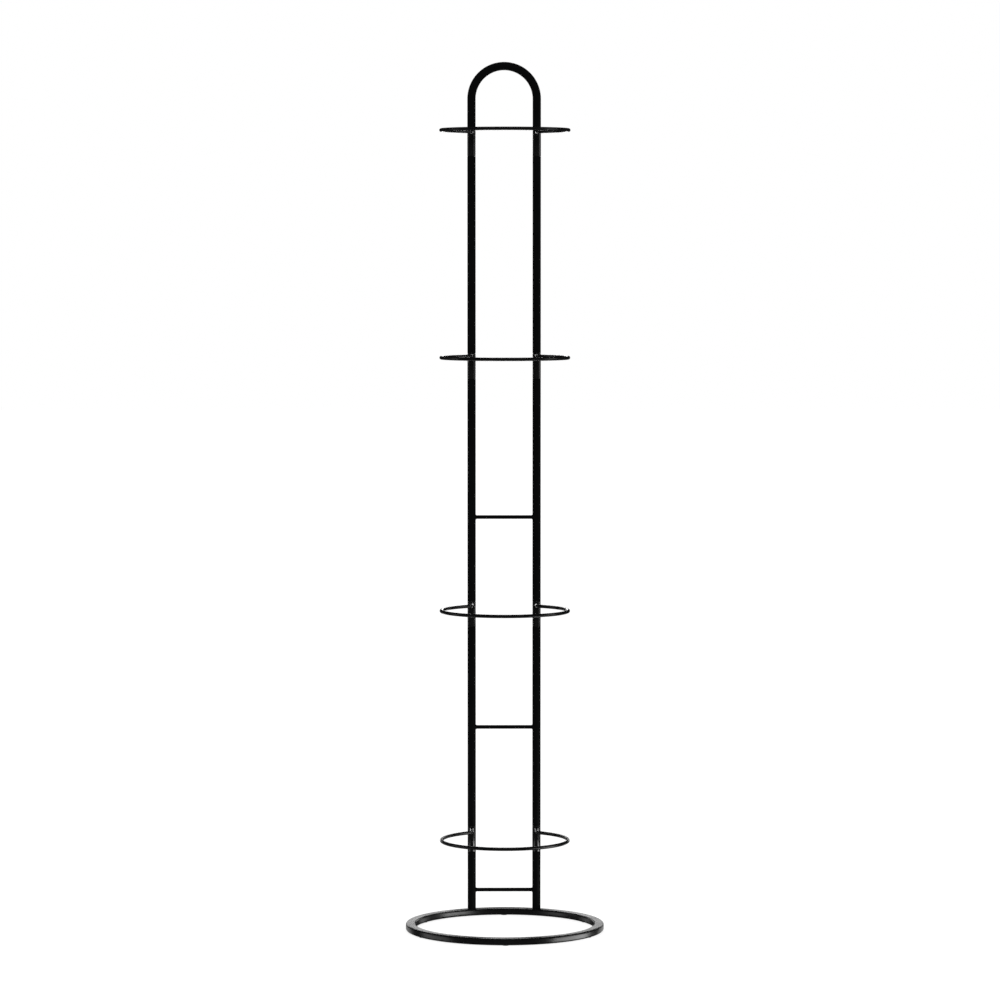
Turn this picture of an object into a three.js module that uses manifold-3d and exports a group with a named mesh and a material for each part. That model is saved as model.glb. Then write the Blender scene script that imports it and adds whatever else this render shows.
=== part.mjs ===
// A tall, free-standing stand of black steel. Two uprights are joined by an arch at the top and stand on
// the back of a ring-shaped base. At each tier a wire ring reaches forward from the uprights on two
// straight legs, to hold a ball or another round thing. Rungs keep the uprights apart.
//
// It comes apart: at each tier the uprights are cut by short couplers of their own diameter, which carry
// the wire ring, and a spigot inside each coupler plugs into the tubes above and below it.
//
// Millimetres, +Z up. The origin is on the floor at the centre of the base ring. The rings are coaxial
// with the base, the uprights are behind them at +Y, and left is -X.

import * as THREE from "three";
import { mergeVertices } from "three/addons/utils/BufferGeometryUtils.js";
import Module from "manifold-3d";

const wasm = await Module();
wasm.setup();

// ---------- driving dimensions ----------

const upright = {
  diameter: 12.7,
  wall: 1.2,
  spacing: 100, // between the axes of the left and right upright
};
const base = {
  outerRadius: 150,
  width: 15, // of the tube's section, across the flat top
  height: 10.4,
  wall: 1.5,
  corner: 2,
};
const pad = { diameter: 10, thickness: 0.6, count: 6 };
const firstTierHeight = 136.5; // from the floor to the lowest wire ring's axis
const tierPitches = [348.5, 382, 341]; // from each wire ring to the next one up
const coupler = { length: 39 };
const ringWire = {
  diameter: 5.3,
  radius: 95.75, // of the ring, to the wire's axis
  bend: 9, // radius where the ring turns into a leg, to the wire's axis
  drop: 3, // from the coupler's top end to the wire's axis
};
const spigot = { wall: 1.2, reach: 25, chamfer: 0.8 };
const rung = { diameter: 5.7 };
const footRungHeight = 29.5; // above the foot tube's lower end
const sectionRungHeights = [153.8, 130]; // above the lower end of the section each one is in
const arch = { legLength: 48 };
const insert = { length: 20 };
const screw = { diameter: 6, headHeight: 3.3, headEdge: 1, grip: 16, socket: 4, socketDepth: 2 };

// Clearances
const seam = 0.2; // between the ends of tubes that plug together
const weldGap = 0.1; // between pieces that are welded
const spigotClearance = 0.15; // all round a spigot or an insert in its tube
const threadClearance = 0.2; // all round the screw in its insert
const holeClearance = 0.3; // all round the screw in the base ring
const headClearance = 1; // from the screw's head to the side walls inside the base ring
const accessClearance = 0.5; // all round the screw's head in the hole under it

// How finely round shapes are cut
const sides = { tube: 20, wire: 12, hidden: 12, pad: 16, base: 60, corner: 2 };
const steps = { straight: 1, bend: 4, ring: 34, arch: 20 };

// ---------- places worked out from them ----------

const tubeRadius = upright.diameter / 2;
const bore = tubeRadius - upright.wall;
const plugRadius = bore - spigotClearance;
const uprightX = upright.spacing / 2;
const baseAxisRadius = base.outerRadius - base.width / 2;
const uprightY = Math.sqrt(baseAxisRadius ** 2 - uprightX ** 2); // on the base tube's axis
const deck = pad.thickness + base.height; // the base ring's top face
const tierHeights = tierPitches.reduce(
  (heights, pitch) => [...heights, heights.at(-1) + pitch],
  [firstTierHeight],
);
const couplerTop = ringWire.drop; // from the tier's wire axis
const couplerBottom = couplerTop - coupler.length;
const screwHeadRadius = base.width / 2 - base.wall - headClearance;

// ---------- materials ----------

const finishes = {
  powderCoat: { color: 0x121213, roughness: 0.42, metalness: 0.1 },
  smoothCoat: { color: 0x161617, roughness: 0.34, metalness: 0.1 },
  zincSteel: { color: 0xa9abad, roughness: 0.35, metalness: 1 },
  blackOxide: { color: 0x1c1c1e, roughness: 0.4, metalness: 0.9 },
  rubber: { color: 0x1a1a1a, roughness: 0.9, metalness: 0 },
};

function namedMesh(name, geometry, finish) {
  const mesh = new THREE.Mesh(geometry, new THREE.MeshStandardMaterial(finishes[finish]));
  mesh.name = name;
  return mesh;
}

// ---------- shape helpers ----------

// Points of a regular polygon with its corners on a circle
function circlePoints(radius, count) {
  return Array.from({ length: count }, (_, i) => {
    const angle = (i / count) * 2 * Math.PI;
    return new THREE.Vector2(radius * Math.cos(angle), radius * Math.sin(angle));
  });
}

// A closed outline of [radius, height] pairs, turned about Z
function revolve(outline, count) {
  const points = outline.map(([radius, height]) => new THREE.Vector2(radius, height));
  return new THREE.LatheGeometry(points, count).rotateX(Math.PI / 2);
}

// A length of tube standing on z = 0
function standingTube(outer, inner, length, count) {
  const outline = [
    [inner, 0],
    [outer, 0],
    [outer, length],
    [inner, length],
    [inner, 0],
  ];
  return revolve(outline, count);
}

// A rod along X, centred on the origin
function crossRod(radius, length, count) {
  return new THREE.CylinderGeometry(radius, radius, length, count).rotateZ(Math.PI / 2);
}

// A disc or short rod standing on z = 0
function standingRod(radius, length, count) {
  return new THREE.CylinderGeometry(radius, radius, length, count)
    .rotateX(Math.PI / 2)
    .translate(0, 0, length / 2);
}

// A flat path made of straight and round pieces, where each piece has its own number of steps, so that a
// tight bend is as smooth as a wide one. lift places a point of the flat path in space.
class SteppedPath extends THREE.Curve {
  constructor(pieces, lift) {
    super();
    this.pieces = pieces;
    this.lift = lift;
    this.steps = pieces.reduce((sum, piece) => sum + piece.steps, 0);
  }

  locate(u) {
    let step = u * this.steps;
    let index = 0;
    while (index < this.pieces.length - 1 && step > this.pieces[index].steps) {
      step -= this.pieces[index].steps;
      index += 1;
    }
    return { curve: this.pieces[index].curve, t: step / this.pieces[index].steps };
  }

  getPointAt(u) {
    const { curve, t } = this.locate(u);
    return this.lift(curve.getPoint(t));
  }

  getTangentAt(u) {
    const { curve, t } = this.locate(u);
    return this.lift(curve.getTangent(t)).normalize();
  }
}

function straight(from, to) {
  return { curve: new THREE.LineCurve(new THREE.Vector2(...from), new THREE.Vector2(...to)), steps: steps.straight };
}

function arc(centre, radius, from, to, count) {
  const curve = new THREE.EllipseCurve(...centre, radius, radius, from, to, to < from);
  return { curve, steps: count };
}

// A section swept along a stepped path
function sweep(section, path) {
  return new THREE.ExtrudeGeometry(section, { steps: path.steps, bevelEnabled: false, extrudePath: path });
}

function solidOf(geometry) {
  const bare = geometry.clone();
  bare.deleteAttribute("normal");
  bare.deleteAttribute("uv");
  const merged = mergeVertices(bare, 1e-4);
  const mesh = new wasm.Mesh({
    numProp: 3,
    vertProperties: merged.attributes.position.array,
    triVerts: new Uint32Array(merged.index.array),
  });
  return new wasm.Manifold(mesh);
}

function geometryOf(solid) {
  const { vertProperties, triVerts } = solid.getMesh();
  const geometry = new THREE.BufferGeometry();
  geometry.setAttribute("position", new THREE.BufferAttribute(vertProperties, 3));
  geometry.setIndex(new THREE.BufferAttribute(triVerts, 1));
  geometry.computeVertexNormals();
  return geometry;
}

// ---------- base ----------

// A rectangle with round corners in the [radius, height] plane, closed on itself
function roundedRectangle(centreRadius, width, bottom, height, corner) {
  const outline = [];
  const cornerCentres = [
    [1, 0, -90],
    [1, 1, 0],
    [0, 1, 90],
    [0, 0, 180],
  ];
  for (const [right, top, start] of cornerCentres) {
    const x = centreRadius + (right ? 1 : -1) * (width / 2 - corner);
    const z = bottom + (top ? height - corner : corner);
    for (let i = 0; i <= sides.corner; i++) {
      const angle = THREE.MathUtils.degToRad(start + (90 * i) / sides.corner);
      outline.push([x + corner * Math.cos(angle), z + corner * Math.sin(angle)]);
    }
  }
  return [...outline, outline[0]];
}

function baseCavity() {
  const low = pad.thickness + base.wall;
  const high = deck - base.wall;
  const near = baseAxisRadius - base.width / 2 + base.wall;
  const far = base.outerRadius - base.wall;
  const outline = [
    [near, low],
    [far, low],
    [far, high],
    [near, high],
    [near, low],
  ];
  return revolve(outline, sides.base);
}

// The holes for one foot screw: a wide one under its head and a close one for its shank
function screwHoles(x) {
  const access = standingRod(screwHeadRadius + accessClearance, base.height / 2, sides.tube);
  const close = standingRod(screw.diameter / 2 + holeClearance, base.height, sides.tube);
  access.translate(x, uprightY, pad.thickness - base.height / 4);
  close.translate(x, uprightY, deck - base.height / 2);
  return solidOf(access).add(solidOf(close));
}

function baseRing() {
  const outline = roundedRectangle(baseAxisRadius, base.width, pad.thickness, base.height, base.corner);
  const solid = solidOf(revolve(outline, sides.base))
    .subtract(solidOf(baseCavity()))
    .subtract(screwHoles(-uprightX))
    .subtract(screwHoles(uprightX));
  return namedMesh("base_ring", geometryOf(solid), "powderCoat");
}

// Pads are spread evenly, with one at the middle of the back
function footPad(index) {
  const angle = Math.PI / 2 + (index / pad.count) * 2 * Math.PI;
  const mesh = namedMesh(
    `foot_pad_${index + 1}`,
    standingRod(pad.diameter / 2, pad.thickness, sides.pad),
    "rubber",
  );
  mesh.position.set(baseAxisRadius * Math.cos(angle), baseAxisRadius * Math.sin(angle), 0);
  return mesh;
}

// A button-head screw, head down, with the underside of its head at z = 0
function footScrewGeometry() {
  const low = -screw.headHeight;
  const outline = [
    [0, low],
    [screwHeadRadius - screw.headEdge, low],
    [screwHeadRadius, low + screw.headEdge],
    [screwHeadRadius, 0],
    [screw.diameter / 2, 0],
    [screw.diameter / 2, base.wall + screw.grip],
    [0, base.wall + screw.grip],
  ];
  const socket = standingRod(screw.socket / Math.sqrt(3), 2 * screw.socketDepth, 6);
  socket.translate(0, 0, low - screw.socketDepth);
  return geometryOf(solidOf(revolve(outline, sides.tube)).subtract(solidOf(socket)));
}

// ---------- uprights ----------

const bothSides = [
  { side: "left", x: -uprightX },
  { side: "right", x: uprightX },
];

function uprightTube(name, x, bottom, length, finish) {
  const mesh = namedMesh(name, standingTube(tubeRadius, bore, length, sides.tube), finish);
  mesh.position.set(x, uprightY, bottom);
  return mesh;
}

function crossRung(name, height) {
  const length = upright.spacing - upright.diameter - 2 * weldGap;
  const mesh = namedMesh(name, crossRod(rung.diameter / 2, length, sides.wire), "powderCoat");
  mesh.position.set(0, uprightY, height);
  return mesh;
}

function footAssembly() {
  const group = new THREE.Group();
  const top = tierHeights[0] + couplerBottom - seam;
  for (const { side, x } of bothSides) {
    group.add(uprightTube(`foot_tube_${side}`, x, deck, top - deck, "powderCoat"));
    const insertShape = standingTube(
      plugRadius,
      screw.diameter / 2 + threadClearance,
      insert.length,
      sides.tube,
    );
    const insertMesh = namedMesh(`foot_insert_${side}`, insertShape, "zincSteel");
    insertMesh.position.set(x, uprightY, deck);
    const screwMesh = namedMesh(`foot_screw_${side}`, footScrewGeometry(), "blackOxide");
    screwMesh.position.set(x, uprightY, deck - base.wall);
    group.add(insertMesh, screwMesh);
  }
  group.add(crossRung("foot_rung", deck + footRungHeight));
  return group;
}

// The tubes between one tier's couplers and the next tier's, and their rung if they have one
function section(index) {
  const group = new THREE.Group();
  const bottom = tierHeights[index] + couplerTop + seam;
  const top = tierHeights[index + 1] + couplerBottom - seam;
  for (const { side, x } of bothSides) {
    group.add(uprightTube(`section_${index + 1}_tube_${side}`, x, bottom, top - bottom, "powderCoat"));
  }
  if (index < sectionRungHeights.length) {
    group.add(crossRung(`section_${index + 1}_rung`, bottom + sectionRungHeights[index]));
  }
  return group;
}

function topArch() {
  const low = tierHeights.at(-1) + couplerTop + seam;
  const shoulder = low + arch.legLength;
  const pieces = [
    straight([uprightX, low], [uprightX, shoulder]),
    arc([0, shoulder], uprightX, 0, Math.PI, steps.arch),
    straight([-uprightX, shoulder], [-uprightX, low]),
  ];
  const path = new SteppedPath(pieces, ({ x, y }) => new THREE.Vector3(x, 0, y));
  const wall = new THREE.Shape(circlePoints(tubeRadius, sides.tube));
  wall.holes.push(new THREE.Path(circlePoints(bore, sides.tube)));
  const mesh = namedMesh("top_arch", sweep(wall, path), "powderCoat");
  mesh.position.y = uprightY;
  return mesh;
}

// ---------- tiers ----------

// A ring open at the back, whose ends turn into straight legs that reach the couplers
function ringWirePath() {
  const { radius, bend } = ringWire;
  const bendX = uprightX + bend;
  const bendY = Math.sqrt((radius + bend) ** 2 - bendX ** 2);
  const opening = Math.atan2(bendY, bendX); // where the ring meets the right-hand bend
  const legEnd = uprightY - tubeRadius - weldGap;
  const pieces = [
    straight([uprightX, legEnd], [uprightX, bendY]),
    arc([bendX, bendY], bend, Math.PI, Math.PI + opening, steps.bend),
    arc([0, 0], radius, opening, -Math.PI - opening, steps.ring),
    arc([-bendX, bendY], bend, -opening, 0, steps.bend),
    straight([-uprightX, bendY], [-uprightX, legEnd]),
  ];
  return new SteppedPath(pieces, ({ x, y }) => new THREE.Vector3(x, y, 0));
}

function supportRing(name) {
  const section = new THREE.Shape(circlePoints(ringWire.diameter / 2, sides.wire));
  return namedMesh(name, sweep(section, ringWirePath()), "powderCoat");
}

// A tube with chamfered ends, so long that it reaches out of both ends of its coupler
function spigotGeometry() {
  const length = coupler.length + 2 * spigot.reach;
  const inner = plugRadius - spigot.wall;
  const outline = [
    [inner, 0],
    [plugRadius - spigot.chamfer, 0],
    [plugRadius, spigot.chamfer],
    [plugRadius, length - spigot.chamfer],
    [plugRadius - spigot.chamfer, length],
    [inner, length],
    [inner, 0],
  ];
  return revolve(outline, sides.hidden);
}

function tier(index) {
  const group = new THREE.Group();
  group.position.z = tierHeights[index];
  group.add(supportRing(`support_ring_${index + 1}`));
  for (const { side, x } of bothSides) {
    const name = `coupler_${index + 1}_${side}`;
    group.add(uprightTube(name, x, couplerBottom, coupler.length, "smoothCoat"));
    const plug = namedMesh(`spigot_${index + 1}_${side}`, spigotGeometry(), "blackOxide");
    plug.position.set(x, uprightY, couplerBottom - spigot.reach);
    group.add(plug);
  }
  return group;
}

// ---------- the stand ----------

const stand = new THREE.Group();
stand.name = "ring_stand";
stand.add(baseRing());
for (let i = 0; i < pad.count; i++) {
  stand.add(footPad(i));
}
stand.add(footAssembly());
for (let i = 0; i < tierHeights.length; i++) {
  stand.add(tier(i));
}
for (let i = 0; i < tierPitches.length; i++) {
  stand.add(section(i));
}
stand.add(topArch());

export default stand;
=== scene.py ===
# A tiered ring stand of black powder-coated steel tube and wire, modelled over its CAD frame.
# Metres, +Z up, with the CAD's origin: on the floor at the middle of the base ring.
from math import atan2, copysign, cos, hypot, pi, radians, sin, sqrt

import bpy
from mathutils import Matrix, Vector


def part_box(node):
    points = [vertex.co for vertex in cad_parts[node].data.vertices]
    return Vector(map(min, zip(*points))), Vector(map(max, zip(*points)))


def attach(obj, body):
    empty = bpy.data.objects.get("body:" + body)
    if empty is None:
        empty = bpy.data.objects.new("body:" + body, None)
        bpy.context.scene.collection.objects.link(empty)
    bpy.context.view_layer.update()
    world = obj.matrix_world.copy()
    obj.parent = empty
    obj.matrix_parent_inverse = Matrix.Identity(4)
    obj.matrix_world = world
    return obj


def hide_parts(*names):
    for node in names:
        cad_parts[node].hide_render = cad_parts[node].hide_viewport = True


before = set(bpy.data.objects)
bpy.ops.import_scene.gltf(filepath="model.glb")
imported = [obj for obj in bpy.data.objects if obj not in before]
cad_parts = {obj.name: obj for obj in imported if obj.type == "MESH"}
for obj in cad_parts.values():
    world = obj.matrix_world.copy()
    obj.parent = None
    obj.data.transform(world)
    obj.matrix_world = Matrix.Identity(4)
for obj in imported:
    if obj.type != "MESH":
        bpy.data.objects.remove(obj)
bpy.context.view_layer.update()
mm = 0.001
sharpest = 50  # degrees; only edges that turn by more are rounded off
crisp = 35
print("frame loaded:", len(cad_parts), "CAD nodes")


# Camera: a long lens, a little above the middle of the stand and looking slightly down
cameraSettings = {
    "lens": 150.7,
    "place": (-0.054, -6.296, 1.036),
    "pitch": 3.485,  # degrees below level
    "turn": 0.425,  # degrees to the right
    "farthest": 60,
}


def addCamera(settings):
    angles = (radians(90 - settings["pitch"]), 0, -radians(settings["turn"]))
    bpy.ops.object.camera_add(location=settings["place"], rotation=angles)
    camera = bpy.context.object
    camera.name = "standCamera"
    camera.data.lens = settings["lens"]
    camera.data.clip_end = settings["farthest"]
    bpy.context.scene.camera = camera


addCamera(cameraSettings)


# Places and sizes that several pieces share, read from the frame
tubeLow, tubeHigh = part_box("section_1_tube_right")
tubeRadius = (tubeHigh.x - tubeLow.x) / 2
uprightX = (tubeHigh.x + tubeLow.x) / 2
uprightY = (tubeHigh.y + tubeLow.y) / 2


# Modelling helpers

def deselectAll():
    bpy.ops.object.select_all(action="DESELECT")


def makeActive(piece):
    deselectAll()
    piece.select_set(True)
    bpy.context.view_layer.objects.active = piece


def applyPlace():
    bpy.ops.object.transform_apply(location=True, rotation=True, scale=True)


def startPiece(addShape, **settings):
    deselectAll()
    addShape(**settings)
    applyPlace()
    return bpy.context.object


def startEdit(piece):
    makeActive(piece)
    bpy.ops.object.mode_set(mode="EDIT")
    bpy.ops.mesh.select_all(action="SELECT")


def startEditOn(piece, chosen):  # with only these faces or edges selected
    for elements in (piece.data.vertices, piece.data.edges, piece.data.polygons):
        for element in elements:
            element.select = False
    for element in chosen:
        element.select = True
    makeActive(piece)
    bpy.ops.object.mode_set(mode="EDIT")


def endEdit():
    bpy.ops.object.mode_set(mode="OBJECT")


def clearFaces():
    bpy.ops.mesh.select_all(action="SELECT")
    bpy.ops.mesh.delete(type="ONLY_FACE")


def extrudeBy(step):
    bpy.ops.mesh.extrude_region_move(TRANSFORM_OT_translate={"value": step})


def scaleAbout(place, factor):
    bpy.ops.transform.resize(value=(factor, factor, factor), center_override=place)


def spinAbout(centre, axis, angle, steps):  # clockwise, seen from the axis's tip
    bpy.ops.mesh.spin(steps=steps, angle=angle, center=centre, axis=axis)


def joinAndFaceOut():
    bpy.ops.mesh.select_all(action="SELECT")
    bpy.ops.mesh.remove_doubles(threshold=0.002 * mm)
    bpy.ops.mesh.normals_make_consistent(inside=False)


def capEnds():
    bpy.ops.mesh.select_all(action="SELECT")
    bpy.ops.mesh.fill_holes(sides=0)
    joinAndFaceOut()


def modify(piece, kind, **settings):
    makeActive(piece)
    modifier = piece.modifiers.new(kind.lower(), kind)
    for key, value in settings.items():
        setattr(modifier, key, value)
    bpy.ops.object.modifier_apply(modifier=modifier.name)


def smooth(piece, angle):  # an edge that turns by more degrees than this stays crisp
    makeActive(piece)
    bpy.ops.object.shade_smooth_by_angle(angle=radians(angle))


def copyBy(piece, shift):  # a copy with its own mesh, moved within that mesh
    makeActive(piece)
    bpy.ops.object.duplicate()
    bpy.context.object.location = shift
    applyPlace()
    return bpy.context.object


def edgeLength(piece, edge):
    start, end = (piece.data.vertices[i].co for i in edge.vertices)
    return (start - end).length


def middle(node):
    low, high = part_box(node)
    return (low + high) / 2


def finishPiece(piece, name, material, node):
    piece.name = name
    piece.data.name = name
    piece.data.materials.clear()
    piece.data.materials.append(material)
    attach(piece, "root")
    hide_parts(node)


# Materials

def linear(hexCode):  # an sRGB hex colour as linear light
    shares = [int(hexCode[i:i + 2], 16) / 255 for i in (1, 3, 5)]
    return (*(s / 12.92 if s <= 0.04045 else ((s + 0.055) / 1.055) ** 2.4 for s in shares), 1)


def grain(size):  # the scale at which a pattern's features are about this many millimetres across
    return 1 / (size * mm)


def addNode(tree, kind, settings=(), values=(), links=()):
    node = tree.nodes.new(kind)
    for key, value in dict(settings).items():
        setattr(node, key, value)
    for key, value in dict(values).items():
        node.inputs[key].default_value = value
    for key, source in dict(links).items():
        tree.links.new(source, node.inputs[key])
    return node


def newMaterial(name, values):
    material = bpy.data.materials.new(name)
    material.use_nodes = True
    shader = material.node_tree.nodes["Principled BSDF"]
    for key, value in values.items():
        shader.inputs[key].default_value = value
    return material, material.node_tree, shader


# Polyester powder, sprayed on and baked: satin black, with the shallow dimples of orange peel.
# Its colour hardly varies, so what the eye sees is a soft sheen, broken up a little by the peel.
powderCoatLook = {
    "deep": "#030303",
    "pale": "#090a0b",
    "ior": 1.14,
    "roughness": (0.48, 0.58),
    "cloudSize": 45,
    "peelSize": 2.4,  # towards the coarse end of real peel, so that it shows
    "peelDepth": 0.008,
    "grainSize": 0.5,
    "grainDepth": 0.002,
}
# The rolled base ring and the wires lie flat in the oven, where the powder flows out more
flowedCoatLook = {
    **powderCoatLook,
    "deep": "#020202",
    "pale": "#050506",
    "ior": 1.5,
    "roughness": (0.24, 0.3),
    "peelDepth": 0.006,
}
# The couplers are turned smooth before they are coated, so they shine more than drawn tube
smoothCoatLook = {
    **powderCoatLook,
    "deep": "#010101",
    "pale": "#030303",
    "ior": 1.64,
    "roughness": (0.17, 0.22),
    "peelSize": 3.2,
    "peelDepth": 0.004,
    "grainDepth": 0.001,
}


noiseSpread = (0.3, 0.7)  # nearly all of a noise texture's values lie between these


def powderCoat(name, look):
    material, tree, shader = newMaterial(name, {"IOR": look["ior"]})
    place = addNode(tree, "ShaderNodeTexCoord").outputs["Object"]
    cloud = addNode(
        tree, "ShaderNodeTexNoise",
        values={"Scale": grain(look["cloudSize"]), "Detail": 3}, links={"Vector": place},
    ).outputs["Fac"]
    tint = addNode(
        tree, "ShaderNodeMix", {"data_type": "RGBA"},
        {6: linear(look["deep"]), 7: linear(look["pale"])}, {0: cloud},
    )
    lowest, highest = noiseSpread
    smoothest, roughest = look["roughness"]
    rough = addNode(
        tree, "ShaderNodeMapRange",
        values={"From Min": lowest, "From Max": highest, "To Min": smoothest, "To Max": roughest},
        links={"Value": cloud},
    )
    peel = addNode(
        tree, "ShaderNodeTexNoise",
        values={"Scale": grain(look["peelSize"]), "Detail": 1.5, "Roughness": 0.4},
        links={"Vector": place},
    )
    fine = addNode(
        tree, "ShaderNodeTexNoise",
        values={"Scale": grain(look["grainSize"]), "Detail": 2}, links={"Vector": place},
    )
    dimples = addNode(
        tree, "ShaderNodeBump",
        values={"Distance": look["peelDepth"] * mm}, links={"Height": peel.outputs["Fac"]},
    )
    skin = addNode(
        tree, "ShaderNodeBump",
        values={"Distance": look["grainDepth"] * mm},
        links={"Height": fine.outputs["Fac"], "Normal": dimples.outputs["Normal"]},
    )
    tree.links.new(tint.outputs[2], shader.inputs["Base Color"])
    tree.links.new(rough.outputs["Result"], shader.inputs["Roughness"])
    tree.links.new(skin.outputs["Normal"], shader.inputs["Normal"])
    return material


# Zinc plating on drawn steel: bright and faintly blue, with fine lines along the draw
zincLook = {
    "pale": "#b9bdc2",
    "dull": "#9a9ea4",
    "roughness": (0.24, 0.42),
    "lineSize": 0.5,
    "lineStretch": 40,  # how many times longer than wide
    "lineDepth": 0.004,
}


def zincPlate(name, look):
    material, tree, shader = newMaterial(name, {"Metallic": 1})
    place = addNode(tree, "ShaderNodeTexCoord").outputs["Object"]
    drawn = addNode(
        tree, "ShaderNodeMapping",
        values={"Scale": (1, 1, 1 / look["lineStretch"])}, links={"Vector": place},
    )
    lines = addNode(
        tree, "ShaderNodeTexNoise",
        values={"Scale": grain(look["lineSize"]), "Detail": 3},
        links={"Vector": drawn.outputs["Vector"]},
    ).outputs["Fac"]
    tint = addNode(
        tree, "ShaderNodeMix", {"data_type": "RGBA"},
        {6: linear(look["dull"]), 7: linear(look["pale"])}, {0: lines},
    )
    smoothest, roughest = look["roughness"]
    rough = addNode(
        tree, "ShaderNodeMapRange",
        values={"To Min": smoothest, "To Max": roughest}, links={"Value": lines},
    )
    ridges = addNode(
        tree, "ShaderNodeBump", values={"Distance": look["lineDepth"] * mm}, links={"Height": lines},
    )
    tree.links.new(tint.outputs[2], shader.inputs["Base Color"])
    tree.links.new(rough.outputs["Result"], shader.inputs["Roughness"])
    tree.links.new(ridges.outputs["Normal"], shader.inputs["Normal"])
    return material


# Black oxide on the foot screws and spigots: dark and dull, a thin skin that keeps the steel's sheen
oxideLook = {"deep": "#1f2023", "pale": "#34353a", "roughness": (0.34, 0.5), "patchSize": 2.5}


def blackOxide(name, look):
    material, tree, shader = newMaterial(name, {"Metallic": 0.9})
    place = addNode(tree, "ShaderNodeTexCoord").outputs["Object"]
    patch = addNode(
        tree, "ShaderNodeTexNoise",
        values={"Scale": grain(look["patchSize"]), "Detail": 4}, links={"Vector": place},
    ).outputs["Fac"]
    tint = addNode(
        tree, "ShaderNodeMix", {"data_type": "RGBA"},
        {6: linear(look["deep"]), 7: linear(look["pale"])}, {0: patch},
    )
    smoothest, roughest = look["roughness"]
    rough = addNode(
        tree, "ShaderNodeMapRange",
        values={"To Min": smoothest, "To Max": roughest}, links={"Value": patch},
    )
    tree.links.new(tint.outputs[2], shader.inputs["Base Color"])
    tree.links.new(rough.outputs["Result"], shader.inputs["Roughness"])
    return material


# Moulded rubber: matt and almost black, with a fine pebbled skin from the mould, and painted shade in the
# hollows between the pebbles
rubberLook = {
    # deep is the colour of the hollows, darkened as painted shade; pale is the colour of the pebble tops
    "deep": "#131313",
    "pale": "#1d1d1d",
    "roughness": 0.85,
    "pebbleSize": 0.7,
    "pebbleDepth": 0.03,
}


def mouldedRubber(name, look):
    material, tree, shader = newMaterial(name, {"IOR": 1.52, "Roughness": look["roughness"]})
    place = addNode(tree, "ShaderNodeTexCoord").outputs["Object"]
    pebblesAndHollowShade = addNode(
        tree, "ShaderNodeTexVoronoi",
        values={"Scale": grain(look["pebbleSize"])}, links={"Vector": place},
    ).outputs["Distance"]
    # Painted shade: the colour darkens from each pebble's top into the hollow around it, where the bump
    # below sinks the surface
    tint = addNode(
        tree, "ShaderNodeMix", {"data_type": "RGBA"},
        {6: linear(look["pale"]), 7: linear(look["deep"])}, {0: pebblesAndHollowShade},
    )
    bumps = addNode(
        tree, "ShaderNodeBump", {"invert": True},
        {"Distance": look["pebbleDepth"] * mm}, {"Height": pebblesAndHollowShade},
    )
    tree.links.new(tint.outputs[2], shader.inputs["Base Color"])
    tree.links.new(bumps.outputs["Normal"], shader.inputs["Normal"])
    return material


tubeCoat = powderCoat("satinBlackPowderCoat", powderCoatLook)
flowedCoat = powderCoat("flowedBlackPowderCoat", flowedCoatLook)
couplerCoat = powderCoat("smoothBlackPowderCoat", smoothCoatLook)
zincSteel = zincPlate("zincPlatedSteel", zincLook)
oxideSteel = blackOxide("blackOxideSteel", oxideLook)
footRubber = mouldedRubber("mouldedFootRubber", rubberLook)
print("materials made")


# Upright tubes, couplers, spigots and inserts: each a thin wall with its cut ends rounded off
tubeShape = {"sides": 64, "wall": 1.2, "endRound": 0.2, "roundSteps": 3}
spigotShape = {"sides": 48, "wall": 1.2, "endRound": 0.5, "roundSteps": 1}
insertShape = {"sides": 48, "wall": 1.8, "endRound": 0.4, "roundSteps": 2}


def giveWall(piece, shape):
    modify(piece, "SOLIDIFY", thickness=shape["wall"] * mm, offset=-1, use_even_offset=True)
    modify(
        piece, "BEVEL", width=shape["endRound"] * mm, segments=shape["roundSteps"],
        limit_method="ANGLE", angle_limit=radians(sharpest),
    )
    smooth(piece, crisp)


def straightTube(node, shape):
    low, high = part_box(node)
    piece = startPiece(
        bpy.ops.mesh.primitive_cylinder_add,
        vertices=shape["sides"], radius=(high.x - low.x) / 2, depth=high.z - low.z,
        end_fill_type="NOTHING", location=(low + high) / 2,
    )
    giveWall(piece, shape)
    return piece


def tubePair(node, name, shape, material):
    right = straightTube(node + "_right", shape)
    left = copyBy(right, (-2 * uprightX, 0, 0))
    finishPiece(right, name + "Right", material, node + "_right")
    finishPiece(left, name + "Left", material, node + "_left")


tubePair("foot_tube", "footTube", tubeShape, tubeCoat)
tubePair("foot_insert", "footInsert", insertShape, zincSteel)
for number in (1, 2, 3):
    tubePair(f"section_{number}_tube", f"sectionTube{number}", tubeShape, tubeCoat)
for number in (1, 2, 3, 4):
    tubePair(f"coupler_{number}", f"coupler{number}", tubeShape, couplerCoat)
    tubePair(f"spigot_{number}", f"spigot{number}", spigotShape, oxideSteel)
print("upright tubes made")


# Arch: the same tube, bent through half a turn between two short legs
archShape = {**tubeShape, "bendSteps": 80}


def makeArch(shape):
    low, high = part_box("top_arch")
    shoulder = high.z - tubeRadius - uprightX
    leg = shoulder - low.z
    piece = startPiece(
        bpy.ops.mesh.primitive_circle_add,
        vertices=shape["sides"], radius=tubeRadius, location=(uprightX, uprightY, low.z),
    )
    startEdit(piece)
    extrudeBy((0, 0, leg))
    spinAbout((0, uprightY, shoulder), (0, 1, 0), pi, shape["bendSteps"])
    extrudeBy((0, 0, -leg))
    joinAndFaceOut()
    endEdit()
    giveWall(piece, shape)
    finishPiece(piece, "topArch", tubeCoat, "top_arch")


makeArch(archShape)
print("arch made")


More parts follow.
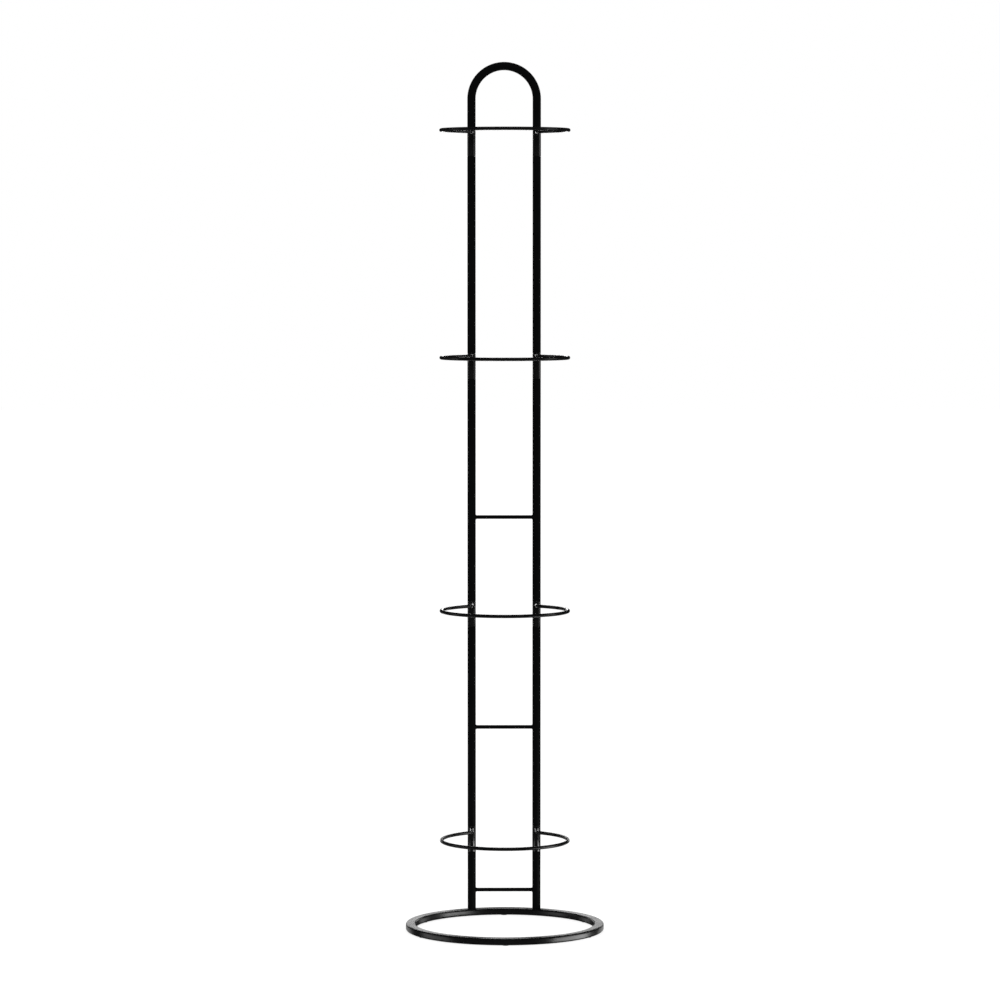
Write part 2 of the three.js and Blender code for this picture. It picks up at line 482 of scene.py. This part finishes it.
# Welds: where a rod meets a tube it swells into the fillet that holds it, under the powder
weldShape = {
    "leg": 1.3,  # along the rod, and out over the tube
    "loops": 6,
    "hollow": 1.5,  # 1 is a straight cone, more is a hollower fillet
    "lumps": 7,
    "lumpHeight": 0.09,
    "crisp": 50,
}
weldLeg = weldShape["leg"] * mm
weldGap = 0.03 * mm  # between a weld's foot and its tube


def weldRadius(rodRadius, loop):
    return rodRadius + weldLeg * (1 - loop / weldShape["loops"]) ** weldShape["hollow"]


def growWeld(place, direction, rodRadius, loops):  # loops runs from the tube outwards, or back to it
    for loop, nextLoop in zip(loops, loops[1:]):
        step = direction * (weldLeg / weldShape["loops"])
        extrudeBy(step)
        place = place + step
        scaleAbout(place, weldRadius(rodRadius, nextLoop) / weldRadius(rodRadius, loop))
    return place


def seatWeld(piece, foot, along, towards):  # fits a weld round the tube it stands on
    across = 1 - along
    phase = foot.z + foot[across]
    for vertex in piece.data.vertices:
        height = (foot[along] - vertex.co[along]) * towards
        side = vertex.co[across] - foot[across]
        rise = vertex.co.z - foot.z
        if height > weldLeg or hypot(side, rise) > tubeRadius:
            continue
        share = 1 - height / weldLeg
        ripple = sin(weldShape["lumps"] * atan2(rise, side) + phase)
        lump = weldShape["lumpHeight"] * mm * sin(pi * share) * ripple
        swell = 1 + lump / hypot(side, rise)
        vertex.co[across] = foot[across] + side * swell
        vertex.co.z = foot.z + rise * swell
        fallBack = tubeRadius - sqrt(tubeRadius ** 2 - side ** 2)  # of the tube's round face
        vertex.co[along] += towards * fallBack * share


weldOut = list(range(weldShape["loops"] + 1))
weldBack = weldOut[::-1]


# Wire rings: one wire, bent into a leg, a ring open at the back, and a second leg
ringShape = {"sides": 32, "bend": 9, "bendSteps": 14, "ringSteps": 120}


def makeWireRing(shape):
    node = "support_ring_1"
    low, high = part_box(node)
    wire = (high.z - low.z) / 2
    level = (high.z + low.z) / 2
    radius = -low.y - wire
    bend = shape["bend"] * mm
    bendX = uprightX + bend
    bendY = sqrt((radius + bend) ** 2 - bendX ** 2)
    opening = atan2(bendY, bendX)  # the angle where the ring meets its right-hand bend
    tubeFace = uprightY - tubeRadius - weldGap
    rightFoot = Vector((uprightX, tubeFace, level))
    leftFoot = Vector((-uprightX, tubeFace, level))
    backwards = Vector((0, 1, 0))
    piece = startPiece(
        bpy.ops.mesh.primitive_circle_add,
        vertices=shape["sides"], radius=weldRadius(wire, 0), location=rightFoot, rotation=(pi / 2, 0, 0),
    )
    startEdit(piece)
    place = growWeld(rightFoot, -backwards, wire, weldOut)
    straight = place.y - bendY
    extrudeBy((0, -straight, 0))
    spinAbout((bendX, bendY, level), (0, 0, 1), -opening, shape["bendSteps"])
    spinAbout((0, 0, level), (0, 0, 1), pi + 2 * opening, shape["ringSteps"])
    spinAbout((-bendX, bendY, level), (0, 0, 1), -opening, shape["bendSteps"])
    extrudeBy((0, straight, 0))
    growWeld(Vector((-uprightX, place.y, level)), backwards, wire, weldBack)
    capEnds()
    endEdit()
    seatWeld(piece, rightFoot, 1, 1)
    seatWeld(piece, leftFoot, 1, 1)
    smooth(piece, weldShape["crisp"])
    return piece


firstRing = makeWireRing(ringShape)
wireRings = [firstRing]
for number in (2, 3, 4):
    rise = middle(f"support_ring_{number}").z - middle("support_ring_1").z
    wireRings.append(copyBy(firstRing, (0, 0, rise)))
for number, ring in enumerate(wireRings, 1):
    finishPiece(ring, f"wireRing{number}", flowedCoat, f"support_ring_{number}")
print("wire rings made")


# Rungs: straight rods welded between the uprights
rungShape = {"sides": 32}


def makeRung(shape):
    low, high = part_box("foot_rung")
    rod = (high.z - low.z) / 2
    centre = (low + high) / 2
    reach = uprightX - tubeRadius - weldGap
    rightFoot = Vector((reach, uprightY, centre.z))
    leftFoot = Vector((-reach, uprightY, centre.z))
    leftwards = Vector((-1, 0, 0))
    piece = startPiece(
        bpy.ops.mesh.primitive_circle_add,
        vertices=shape["sides"], radius=weldRadius(rod, 0), location=rightFoot, rotation=(0, pi / 2, 0),
    )
    startEdit(piece)
    place = growWeld(rightFoot, leftwards, rod, weldOut)
    extrudeBy((-2 * place.x, 0, 0))
    growWeld(Vector((-place.x, place.y, place.z)), leftwards, rod, weldBack)
    capEnds()
    endEdit()
    seatWeld(piece, rightFoot, 0, 1)
    seatWeld(piece, leftFoot, 0, -1)
    smooth(piece, weldShape["crisp"])
    return piece


footRung = makeRung(rungShape)
rungs = {"foot_rung": footRung}
for node in ("section_1_rung", "section_2_rung"):
    rungs[node] = copyBy(footRung, (0, 0, middle(node).z - middle("foot_rung").z))
rungNames = {"foot_rung": "footRung", "section_1_rung": "lowerRung", "section_2_rung": "upperRung"}
for node, name in rungNames.items():
    finishPiece(rungs[node], name, tubeCoat, node)
print("rungs made")


# Base ring: rectangular tube with round corners, rolled the flat way, which crowns its faces a little
baseShape = {
    "width": 15,
    "corner": 2,
    "cornerSteps": 6,
    "faceCuts": 5,
    "crown": 0.28,
    "wall": 1.5,
    "steps": 240,
    "crisp": 40,
}


def crownFaces(piece, across, centre, half, crown):  # leaves the middle of two opposite faces proud
    along = 2 - across
    for vertex in piece.data.vertices:
        out = vertex.co[across] - centre[across]
        if abs(out) > half[across] / 2:
            share = (vertex.co[along] - centre[along]) / half[along]
            vertex.co[across] -= copysign(crown * share ** 2, out)


def makeBase(shape):
    low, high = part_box("base_ring")
    width = shape["width"] * mm
    height = high.z - low.z
    corner = shape["corner"] * mm
    centre = Vector((high.x - width / 2, 0, (high.z + low.z) / 2))
    piece = startPiece(bpy.ops.mesh.primitive_plane_add, size=1, location=centre, rotation=(pi / 2, 0, 0))
    startEdit(piece)
    bpy.ops.transform.resize(value=(width, 1, height), center_override=centre)
    bpy.ops.mesh.bevel(
        affect="VERTICES", offset=corner, segments=shape["cornerSteps"], offset_type="OFFSET",
    )
    clearFaces()
    endEdit()
    startEditOn(piece, [edge for edge in piece.data.edges if edgeLength(piece, edge) > corner])
    bpy.ops.mesh.subdivide(number_cuts=shape["faceCuts"])
    endEdit()
    half = Vector((width / 2, 0, height / 2))
    for across in (0, 2):
        crownFaces(piece, across, centre, half, shape["crown"] * mm)
    startEdit(piece)
    spinAbout((0, 0, 0), (0, 0, 1), 2 * pi, shape["steps"])
    joinAndFaceOut()
    endEdit()
    modify(piece, "SOLIDIFY", thickness=shape["wall"] * mm, offset=-1, use_even_offset=True)
    return piece


# The holes for a foot screw: a wide one for its head, through the lower wall, and a close one above
holeShape = {"sides": 48, "head": 11, "shank": 6.6, "past": 2}


def cutHole(piece, x, diameter, low, high):
    cutter = startPiece(
        bpy.ops.mesh.primitive_cylinder_add,
        vertices=holeShape["sides"], radius=diameter / 2 * mm, depth=high - low,
        location=(x, uprightY, (low + high) / 2),
    )
    modify(piece, "BOOLEAN", operation="DIFFERENCE", object=cutter, solver="EXACT")
    bpy.data.objects.remove(cutter)


baseLow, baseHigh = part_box("base_ring")
baseMiddle = (baseLow.z + baseHigh.z) / 2
baseRing = makeBase(baseShape)
for x in (-uprightX, uprightX):
    cutHole(baseRing, x, holeShape["head"], baseLow.z - holeShape["past"] * mm, baseMiddle)
    cutHole(baseRing, x, holeShape["shank"], baseMiddle, baseHigh.z + holeShape["past"] * mm)
smooth(baseRing, baseShape["crisp"])
finishPiece(baseRing, "baseRing", flowedCoat, "base_ring")
print("base ring made")


# Foot pads: rubber discs with a rounded rim and a shallow dish underneath
padShape = {
    "sides": 64,
    "rim": 0.18,
    "rimSteps": 3,
    "dish": 0.72,  # of the pad's radius
    "dishDepth": 0.12,
    "dishTaper": 0.94,
    "crisp": 40,
}


def makePad(shape):
    low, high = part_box("foot_pad_1")
    centre = (low + high) / 2
    piece = startPiece(
        bpy.ops.mesh.primitive_cylinder_add,
        vertices=shape["sides"], radius=(high.x - low.x) / 2, depth=high.z - low.z, location=centre,
    )
    modify(
        piece, "BEVEL", width=shape["rim"] * mm, segments=shape["rimSteps"],
        limit_method="ANGLE", angle_limit=radians(sharpest),
    )
    startEditOn(piece, [face for face in piece.data.polygons if face.normal.z < -0.99])
    bpy.ops.mesh.inset(thickness=(1 - shape["dish"]) * (high.x - low.x) / 2)
    extrudeBy((0, 0, shape["dishDepth"] * mm))
    scaleAbout(Vector((centre.x, centre.y, low.z)), shape["dishTaper"])
    endEdit()
    smooth(piece, shape["crisp"])
    return piece


firstPad = makePad(padShape)
footPads = [firstPad]
for number in range(2, 7):
    footPads.append(copyBy(firstPad, middle(f"foot_pad_{number}") - middle("foot_pad_1")))
for number, pad in enumerate(footPads, 1):
    finishPiece(pad, f"footPad{number}", footRubber, f"foot_pad_{number}")
print("foot pads made")


# Foot screws: button heads with a hex socket, seen only from below
screwShape = {
    "sides": 48,
    "shank": 6,
    "head": 3.3,
    "crownFlat": 0.45,  # of the head's radius
    "crownHeight": 0.8,  # of the head's height; the rest is its straight edge
    "crownSteps": 8,
    "pitch": 1,
    "threadDepth": 0.35,
    "flank": 0.45,  # of the pitch, from a thread's crest to its root
    "tip": 1.2,  # pitches without a thread at the end
    "socket": 4,
    "socketDepth": 2,
    "crisp": 30,
}


def makeScrew(shape):
    low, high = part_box("foot_screw_right")
    headRadius = (high.x - low.x) / 2
    head = shape["head"] * mm
    shank = shape["shank"] / 2 * mm
    root = shank - shape["threadDepth"] * mm
    pitch = shape["pitch"] * mm
    crownFlat = shape["crownFlat"] * headRadius
    crownHeight = shape["crownHeight"] * head
    outline = [(0, low.z), (crownFlat, low.z)]
    for i in range(1, shape["crownSteps"] + 1):
        turn = pi / 2 * i / shape["crownSteps"]
        radius = crownFlat + (headRadius - crownFlat) * sin(turn)
        outline.append((radius, low.z + crownHeight * (1 - cos(turn))))
    outline += [(headRadius, low.z + head), (shank, low.z + head)]
    height = low.z + head + pitch
    while height < high.z - shape["tip"] * pitch:
        outline += [(shank, height), (root, height + shape["flank"] * pitch)]
        height += pitch
    outline += [(shank, height), (root, high.z), (0, high.z)]
    piece = startPiece(bpy.ops.mesh.primitive_circle_add, vertices=len(outline), radius=headRadius)
    for vertex, (radius, level) in zip(piece.data.vertices, outline):
        vertex.co = (uprightX + radius, uprightY, level)
    startEdit(piece)
    spinAbout((uprightX, uprightY, 0), (0, 0, 1), 2 * pi, shape["sides"])
    joinAndFaceOut()
    endEdit()
    cutter = startPiece(
        bpy.ops.mesh.primitive_cylinder_add,
        vertices=6, radius=shape["socket"] / sqrt(3) * mm, depth=2 * shape["socketDepth"] * mm,
        location=(uprightX, uprightY, low.z),
    )
    modify(piece, "BOOLEAN", operation="DIFFERENCE", object=cutter, solver="EXACT")
    bpy.data.objects.remove(cutter)
    smooth(piece, shape["crisp"])
    return piece


rightScrew = makeScrew(screwShape)
leftScrew = copyBy(rightScrew, (-2 * uprightX, 0, 0))
finishPiece(rightScrew, "footScrewRight", oxideSteel, "foot_screw_right")
finishPiece(leftScrew, "footScrewLeft", oxideSteel, "foot_screw_left")
print("foot screws made")


# Studio: a pale floor that runs out of sight, lit from beneath as a light table is, white all round,
# and a few soft lights
floorSettings = {"size": 40, "colour": "#8a8a8a", "glow": 0.8}


def addFloor(settings):
    floor = startPiece(bpy.ops.mesh.primitive_plane_add, size=settings["size"])
    floor.name = "studioFloor"
    values = {
        "Base Color": linear(settings["colour"]),
        "Specular IOR Level": 0,
        "Emission Color": (1, 1, 1, 1),
        "Emission Strength": settings["glow"],
    }
    material, tree, shader = newMaterial("paleLitAcrylic", values)
    floor.data.materials.append(material)
    floor.visible_glossy = False  # the floor lights the stand softly, but isn't mirrored in it
    floor.visible_shadow = False  # so that the cards just under it light the base's wall


# What is mirrored in black paint is darker than the white surroundings, as in a studio with black flags,
# and a little lighter low down in front
worldSettings = {
    "seen": 1.0,
    "lighting": 1.045,
    "mirroredAbove": 0.012,
    "mirroredFront": 0.06,
    "lowFrom": (0.05, -0.12),  # the slopes, up or down, between which the lighter part comes in
    "frontFrom": (-0.35, -0.85),  # the same from the sides towards the front
}


def addWorld(settings):
    world = bpy.data.worlds.new("studioWorld")
    bpy.context.scene.world = world
    world.use_nodes = True
    tree = world.node_tree
    white = tree.nodes["Background"]
    white.inputs["Color"].default_value = (1, 1, 1, 1)
    path = addNode(tree, "ShaderNodeLightPath")
    whiteness = addNode(
        tree, "ShaderNodeMapRange",
        values={"To Min": settings["lighting"], "To Max": settings["seen"]},
        links={"Value": path.outputs["Is Camera Ray"]},
    )
    tree.links.new(whiteness.outputs["Result"], white.inputs["Strength"])
    direction = addNode(tree, "ShaderNodeTexCoord").outputs["Generated"]
    parts = addNode(tree, "ShaderNodeSeparateXYZ", links={"Vector": direction})
    shares = []
    for axis, (start, end) in (("Z", settings["lowFrom"]), ("Y", settings["frontFrom"])):
        shares.append(addNode(
            tree, "ShaderNodeMapRange",
            values={"From Min": start, "From Max": end}, links={"Value": parts.outputs[axis]},
        ))
    both = addNode(
        tree, "ShaderNodeMath", {"operation": "MULTIPLY"},
        links={0: shares[0].outputs["Result"], 1: shares[1].outputs["Result"]},
    )
    strength = addNode(
        tree, "ShaderNodeMapRange",
        values={"To Min": settings["mirroredAbove"], "To Max": settings["mirroredFront"]},
        links={"Value": both.outputs["Value"]},
    )
    mirrored = addNode(
        tree, "ShaderNodeBackground",
        values={"Color": (1, 1, 1, 1)}, links={"Strength": strength.outputs["Result"]},
    )
    mix = addNode(
        tree, "ShaderNodeMixShader",
        links={
            0: path.outputs["Is Glossy Ray"],
            1: white.outputs["Background"],
            2: mirrored.outputs["Background"],
        },
    )
    tree.links.new(mix.outputs["Shader"], tree.nodes["World Output"].inputs["Surface"])


# Each light: where it stands, what it looks at, its width and height, and its power
lightSettings = {
    "leftStrip": ((-2.15, 0.35, 0.75), (0, 0, 0.6), (0.6, 1.9), 1.8),
    "rightStrip": ((2.2, -0.1, 0.75), (0, 0, 0.6), (0.9, 1.9), 5.5),
    "backStrip": ((0, 0.75, 0.8), (0, 0, 0.8), (0.16, 0.9), 2),
    "backLeftCard": ((-0.27, 0.75, 0.16), (-0.2, 0, 0), (0.38, 0.14), 0.29),
    "backRightCard": ((0.27, 0.75, 0.16), (0.2, 0, 0), (0.38, 0.14), 0.29),
    "lowLeftCard": ((-0.5, -0.12, -0.07), (-0.1, -0.1, 0), (0.35, 0.14), 0.16),
    "lowRightCard": ((0.48, -0.15, -0.07), (0.1, -0.1, 0), (0.44, 0.14), 1.1),
    "endLeftCard": ((-0.36, 0.45, -0.08), (-0.147, 0, 0), (0.3, 0.14), 0.07),
    "endRightCard": ((0.36, 0.45, -0.08), (0.147, 0, 0), (0.3, 0.14), 0.1),
    "overhead": ((0, -0.4, 3.2), (0, 0, 0), (1.6, 1.2), 4),
}


def addLights(lights):
    for name, (place, target, size, power) in lights.items():
        aim = Vector(target) - Vector(place)
        angles = aim.to_track_quat("-Z", "Y").to_euler()
        bpy.ops.object.light_add(type="AREA", location=place, rotation=angles)
        light = bpy.context.object
        light.name = name
        light.data.shape = "RECTANGLE"
        light.data.size, light.data.size_y = size
        light.data.energy = power
        light.visible_camera = False


addFloor(floorSettings)
addWorld(worldSettings)
addLights(lightSettings)
bpy.context.scene.view_settings.view_transform = "Standard"
print("studio made")

deselectAll()
